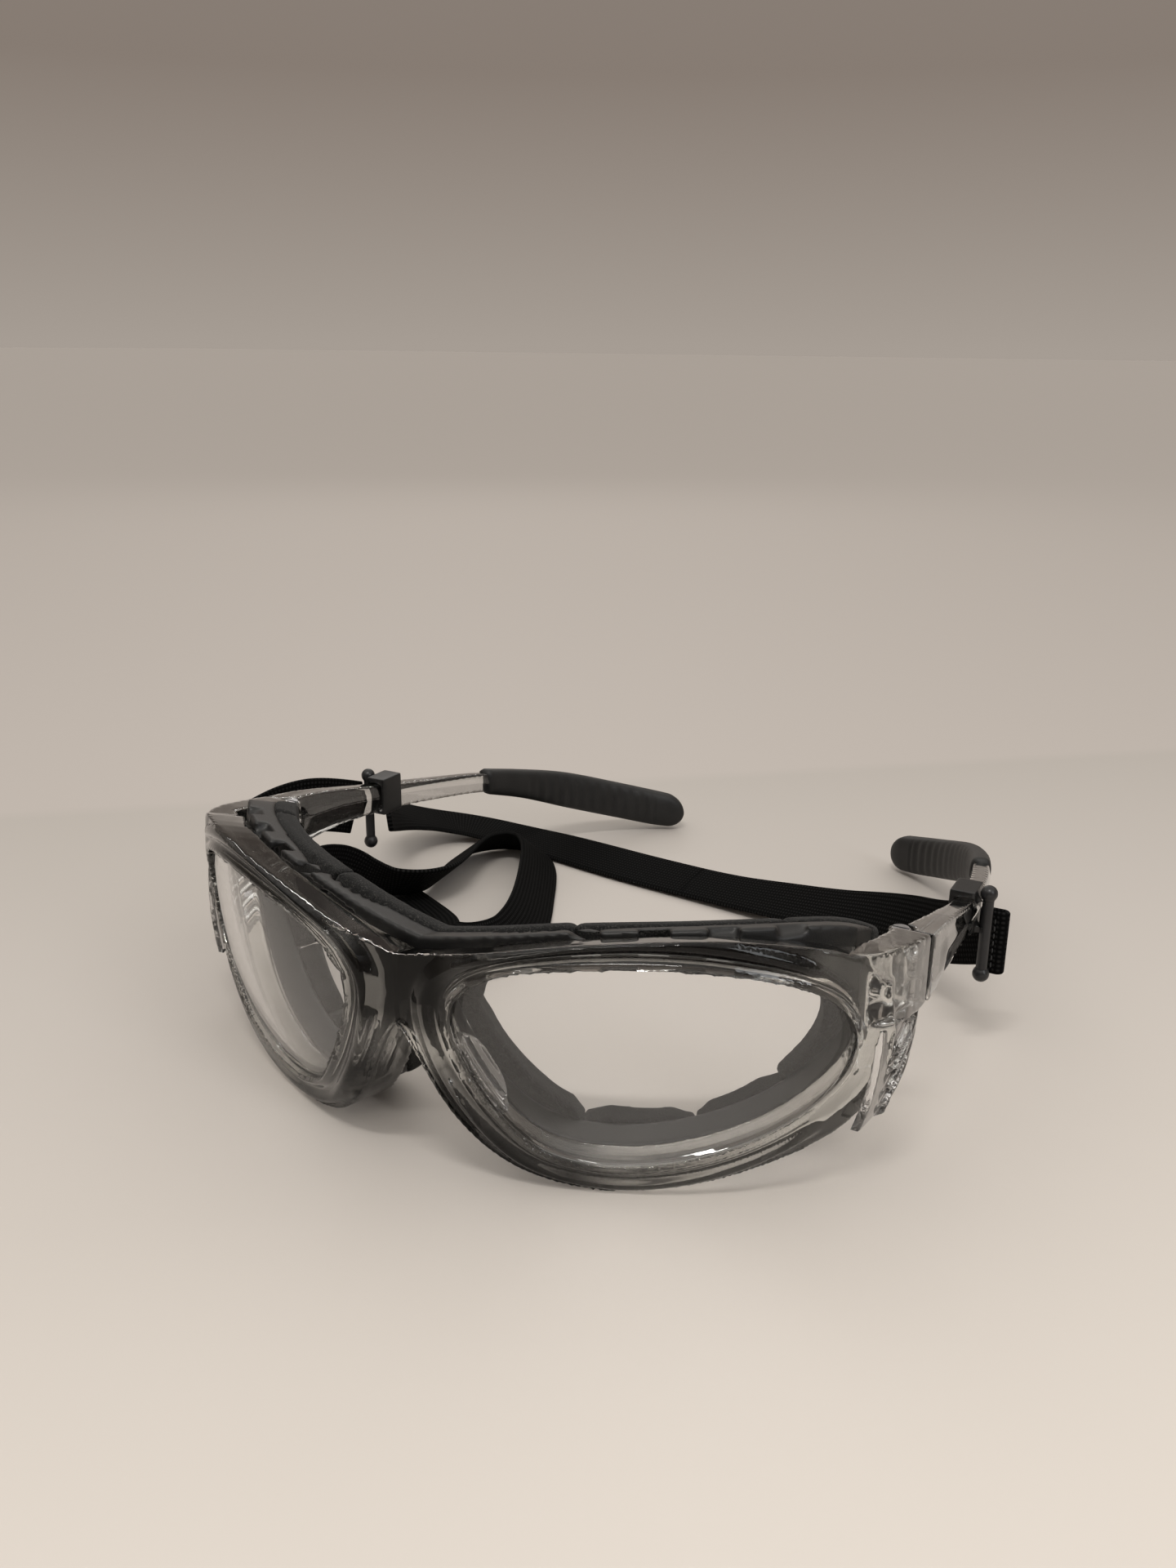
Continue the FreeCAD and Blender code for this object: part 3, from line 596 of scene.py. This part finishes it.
# ------------------------------------------------------------------ temple tips
def make_tip(side):
    stations, around = 90, 36
    tip = np.array(TIP)
    run = np.concatenate(([0], np.cumsum(np.hypot(np.diff(tip[:, 0]), np.diff(tip[:, 1])))))
    total = run[-1]
    where = total * (1 - (1 - np.linspace(0, 1, stations)) ** 1.6)
    x, y, thick, top, bottom = [smooth_along(run, tip[:, k], where) for k in range(5)]
    dx, dy = np.gradient(x, where), np.gradient(y, where)
    rows = []
    for k in range(stations):
        length = math.hypot(dx[k], dy[k])
        across = np.array((dy[k], -dx[k], 0.0)) / length
        left = (total - where[k]) / 4.6
        closing = math.sqrt(max(1 - (1 - min(left, 1.0)) ** 2, 0.0004))
        opening = min(1.0, 0.86 + where[k] / 6.0)
        half_thick = thick[k] / 2 * (0.25 + 0.75 * closing) * opening
        half_tall = (top[k] - bottom[k]) / 2 * closing * opening
        middle = np.array((x[k], y[k] - MIDDLE_Y, (top[k] + bottom[k]) / 2))
        for i in range(around):
            a = 2 * math.pi * i / around
            ca, sa = math.cos(a), math.sin(a)
            w = math.copysign(abs(ca) ** 0.6, ca)
            h = math.copysign(abs(sa) ** 0.75, sa)
            rib = 0.0
            if w < -0.6 and 14.0 < where[k] < total - 8.0:
                wave = 0.5 + 0.5 * math.sin(2 * math.pi * where[k] / RIB_PITCH)
                rib = RIB_DEPTH * wave * (1 - abs(h) ** 3)
            rows.append(middle + across * (w * half_thick + rib) + np.array((0, 0, h * half_tall)))
    faces = tube_faces(stations, around, side)
    word = "left" if side > 0 else "right"
    verts = mirror_x(np.array(rows) * MM, side)
    make_piece(word + "_tip_rubber", verts, faces, TIP_RUBBER, word + "_temple",
               (word + "_temple_tip",))


def smooth_along(run, values, where):
    """Values between the stations, on a gentle curve."""
    slopes = np.gradient(values, run)
    result = []
    for s in where:
        i = min(int(np.searchsorted(run, s, side="right")) - 1, len(run) - 2)
        h = run[i + 1] - run[i]
        t = (s - run[i]) / h
        result.append((2 * t ** 3 - 3 * t ** 2 + 1) * values[i] + (t ** 3 - 2 * t ** 2 + t) * h * slopes[i]
                      + (3 * t ** 2 - 2 * t ** 3) * values[i + 1] + (t ** 3 - t ** 2) * h * slopes[i + 1])
    return np.array(result)


def tube_faces(stations, around, side=1):
    faces = []
    for k in range(stations - 1):
        for i in range(around):
            j = (i + 1) % around
            quad = (k * around + i, k * around + j, (k + 1) * around + j, (k + 1) * around + i)
            faces.append(quad[::-1] if side > 0 else quad)
    faces.append(tuple(range(around))[:: side])
    faces.append(tuple(range((stations - 1) * around, stations * around))[:: -side])
    return faces


# ------------------------------------------------------------------ headband
def route_curve(points):
    """The route's NURBS line, read as closely spaced points."""
    curve = bpy.data.curves.new("route", "CURVE")
    curve.dimensions = "3D"
    curve.resolution_u = 12
    spline = curve.splines.new("NURBS")
    spline.points.add(len(points) - 1)
    for target, p in zip(spline.points, points):
        target.co = (p[0] * MM, (p[1] - MIDDLE_Y) * MM, p[2] * MM, 1)
    spline.order_u = 3
    spline.use_endpoint_u = True
    helper = bpy.data.objects.new("route", curve)
    scene.collection.objects.link(helper)
    bpy.context.view_layer.update()
    mesh = bpy.data.meshes.new_from_object(helper)
    line = read_points(mesh)
    bpy.data.objects.remove(helper)
    return line


def ribbon_section():
    """The webbing's rounded section as (across, through) in millimetres."""
    half_w, half_t = STRAP_WIDTH / 2, STRAP_THICKNESS / 2
    section = []
    for i in range(8):
        a = math.pi * (i + 0.5) / 8 - math.pi / 2
        section.append((half_w - half_t + half_t * math.cos(a), half_t * math.sin(a)))
    top = [(half_w - half_t - (STRAP_WIDTH - 2 * half_t) * i / 12, half_t) for i in range(1, 12)]
    turned = [(-w, -t) for w, t in section]
    return section + top + turned + [(-w, -t) for w, t in top]


def sweep_webbing(line, lean):
    """The webbing's section carried along a line, with its lean at each point in radians."""
    run = np.concatenate(([0], np.cumsum(np.linalg.norm(np.diff(line, axis=0), axis=1))))
    tangent = np.gradient(line, axis=0)
    tangent /= np.linalg.norm(tangent, axis=1)[:, None]
    section = ribbon_section()
    rows, uvs = [], []
    for k, (point, t) in enumerate(zip(line, tangent)):
        level = np.cross((0, 0, 1), t)
        level /= np.linalg.norm(level)
        rise = np.cross(t, level)
        wide = math.cos(lean[k]) * level + math.sin(lean[k]) * rise
        through = np.cross(t, wide)
        for w, h in section:
            rows.append(point + (wide * w + through * h) * MM)
            uvs.append((run[k] / MM, w))
    return rows, tube_faces(len(line), len(section), -1), uvs


def make_ribbon(name, route, sewn_on=()):
    line = route_curve(route)
    line[0] -= (line[1] - line[0]) / np.linalg.norm(line[1] - line[0]) * SEAM_OVERLAP
    line[-1] += (line[-1] - line[-2]) / np.linalg.norm(line[-1] - line[-2]) * SEAM_OVERLAP
    steps = np.linalg.norm(np.diff(line, axis=0), axis=1)
    run = np.concatenate(([0], np.cumsum(steps)))
    control = np.array(route)
    control_line = np.column_stack((control[:, 0], control[:, 1] - MIDDLE_Y, control[:, 2])) * MM
    share = np.array([run[np.argmin(np.linalg.norm(line - c, axis=1))] for c in control_line])
    share = np.maximum.accumulate(share + np.arange(len(share)) * 1e-7)
    share[0], share[-1] = 0.0, run[-1]
    lean = np.radians(np.interp(run, share, control[:, 3]))
    kernel = np.hanning(25) / np.hanning(25).sum()
    lean = np.convolve(np.pad(lean, 12, mode="edge"), kernel, mode="valid")
    rows, faces, uvs = sweep_webbing(line, lean)
    piece = make_piece(name + "_webbing", rows, faces, WEBBING, None, (name,), uvs)
    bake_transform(piece)
    return piece


def make_sewn_end():
    """The left end of the headband, folded back on itself outside the bar and stitched."""
    low, high = np.array(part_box("strap_sewn_end")) / MM
    middle_y, z = (low[1] + high[1]) / 2, (low[2] + high[2]) / 2
    half_gap = (high[1] - low[1]) / 2 - STRAP_THICKNESS / 2
    fold_x = high[0] - half_gap - STRAP_THICKNESS / 2
    line = [(x, middle_y - half_gap, z) for x in np.linspace(low[0] + 0.2, fold_x, 8)]
    for i in range(1, 12):
        a = math.pi * i / 12
        line.append((fold_x + half_gap * math.sin(a), middle_y - half_gap * math.cos(a), z))
    line += [(x, middle_y + half_gap, z) for x in np.linspace(fold_x, low[0] + 0.2, 8)]
    rows, faces, uvs = sweep_webbing(np.array(line) * MM, [math.pi / 2] * len(line))
    fold = make_piece("sewn_end_webbing", rows, faces, WEBBING, "left_temple",
                      ("strap_sewn_end",), uvs)
    return fold, make_stitches(low[0] + 1.1, middle_y - half_gap - STRAP_THICKNESS / 2, z)


def make_stitches(x, y, z):
    """Two upright rows of short thread stitches across the sewn end."""
    shape = bmesh.new()
    for column in range(2):
        for i in range(STITCH_COUNT):
            middle = Vector((x + column * 1.3, y, z + (i - (STITCH_COUNT - 1) / 2) * STITCH_PITCH)) * MM
            size = Matrix.Diagonal((0.16 * MM, 0.12 * MM, 0.52 * MM, 1.0))
            bmesh.ops.create_icosphere(shape, subdivisions=2, radius=1.0,
                                       matrix=Matrix.Translation(middle) @ size)
    mesh = bpy.data.meshes.new("stitches")
    shape.to_mesh(mesh)
    shape.free()
    mesh.shade_smooth()
    return finish_piece("sewn_end_stitches", mesh, THREAD, "left_temple", ())


def make_headband():
    make_ribbon("strap_left_half", BAND_LEFT,
                make_sewn_end())
    make_ribbon("strap_right_half", BAND_RIGHT)
    make_ribbon("strap_tail", TAIL)


# ------------------------------------------------------------------ build
FOAM_NODES = ("brow_foam", "temple_foam", "outer_cheek_foam", "middle_cheek_foam", "inner_cheek_foam")


def make_goggles():
    make_headband()
    make_front_frame()
    follow("gasket_carrier", "carrier_rubber", "gasket_insert", CARRIER_RUBBER, 0.42, 5)
    pad = follow("bridge_foam", "bridge_foam_pad", "gasket_insert", FOAM, 0.38, 34, swell=0.48)
    for side, word in ((1, "left"), (-1, "right")):
        arm = word + "_temple"
        make_lens(side)
        shield = follow(word + "_side_shield", word + "_shield", "front", SHIELD_PLASTIC,
                        0.24, 3, corrugate_shield)
        paint_louvre_shade(shield)
        follow(word + "_nose_pad", word + "_pad", "front", PAD_CLEAR, 0.20, 4, groove_pad)
        follow(arm, word + "_arm", arm, TEMPLE_PLASTIC, 0.34, 6, facet_temple)
        follow(word + "_strap_clip", word + "_clip", arm, CLIP_PLASTIC, 0.22, 40, swell=-0.25)
        follow(word + "_strap_bar", word + "_bar", arm, BAR_PLASTIC, 0.18, 3)
        make_tip(side)
        for kind in FOAM_NODES:
            node = f"{word}_{kind}"
            pad = follow(node, node + "_pad", "gasket_insert", FOAM, 0.38, 14, round_pad_ends, 0.3)
        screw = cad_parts[word + "_hinge_screw"]
        screw.data.materials.clear()
        screw.data.materials.append(STEEL)


make_goggles()


# ------------------------------------------------------------------ table and light
def make_table():
    """A plain pale table with painted shade, lightest near the viewer and darker farther off, and with a
    faint line far behind the goggles.
    """
    bpy.ops.mesh.primitive_plane_add(size=40.0, location=(0, 0, 0))
    table = bpy.context.object
    table.name = "table"
    m = Nodes("table")
    split = m.add("ShaderNodeSeparateXYZ")
    m.link(m.place(), split.inputs["Vector"])
    behind = m.add("ShaderNodeMath", operation="MULTIPLY_ADD")
    behind.inputs[1].default_value = TABLE_LINE_X
    m.link(split.outputs["X"], behind.inputs[0])
    across = m.add("ShaderNodeMath", operation="MULTIPLY_ADD")
    across.inputs[1].default_value = TABLE_LINE_Y
    across.inputs[2].default_value = TABLE_LINE_SHIFT
    m.link(split.outputs["Y"], across.inputs[0])
    m.link(across.outputs["Value"], behind.inputs[2])
    shade = m.add("ShaderNodeValToRGB")
    fill_ramp(shade.color_ramp, TABLE_SHADES)
    m.link(behind.outputs["Value"], shade.inputs["Fac"])
    m.link(shade.outputs["Color"], m.shader.inputs["Base Color"])
    m.set(Roughness=0.6, Specular_IOR_Level=0.25)
    table.data.materials.append(m.material)


def add_area(name, place, target, size, power, colour):
    data = bpy.data.lights.new(name, "AREA")
    data.shape = "RECTANGLE"
    data.size, data.size_y = size
    data.energy = power
    data.color = colour
    light = bpy.data.objects.new(name, data)
    light.location = place
    aim = Vector(target) - Vector(place)
    light.rotation_euler = aim.to_track_quat("-Z", "Y").to_euler()
    scene.collection.objects.link(light)


def make_light():
    world = bpy.data.worlds.new("studio")
    scene.world = world
    world.use_nodes = True
    tree = world.node_tree
    split = tree.nodes.new("ShaderNodeSeparateXYZ")
    tree.links.new(tree.nodes.new("ShaderNodeTexCoord").outputs["Generated"], split.inputs["Vector"])
    shade = tree.nodes.new("ShaderNodeValToRGB")
    fill_ramp(shade.color_ramp, SKY_SHADES)
    tree.links.new(split.outputs["Z"], shade.inputs["Fac"])
    tree.links.new(shade.outputs["Color"], tree.nodes["Background"].inputs["Color"])
    tree.nodes["Background"].inputs["Strength"].default_value = 1.0
    add_area("ceiling", (0.12, -0.42, 0.85), (0, -0.1, 0), (0.30, 0.05), 3.0, (1.0, 0.97, 0.93))
    add_area("window", (0.9, -0.35, 0.55), (0, 0, 0.02), (0.25, 0.5), 2.0, (0.95, 0.97, 1.0))
    add_area("rear_strip", (-0.5, 0.75, 0.45), (0, 0, 0.02), (0.5, 0.016), 0.5, (1.0, 0.98, 0.95))


make_table()
make_light()
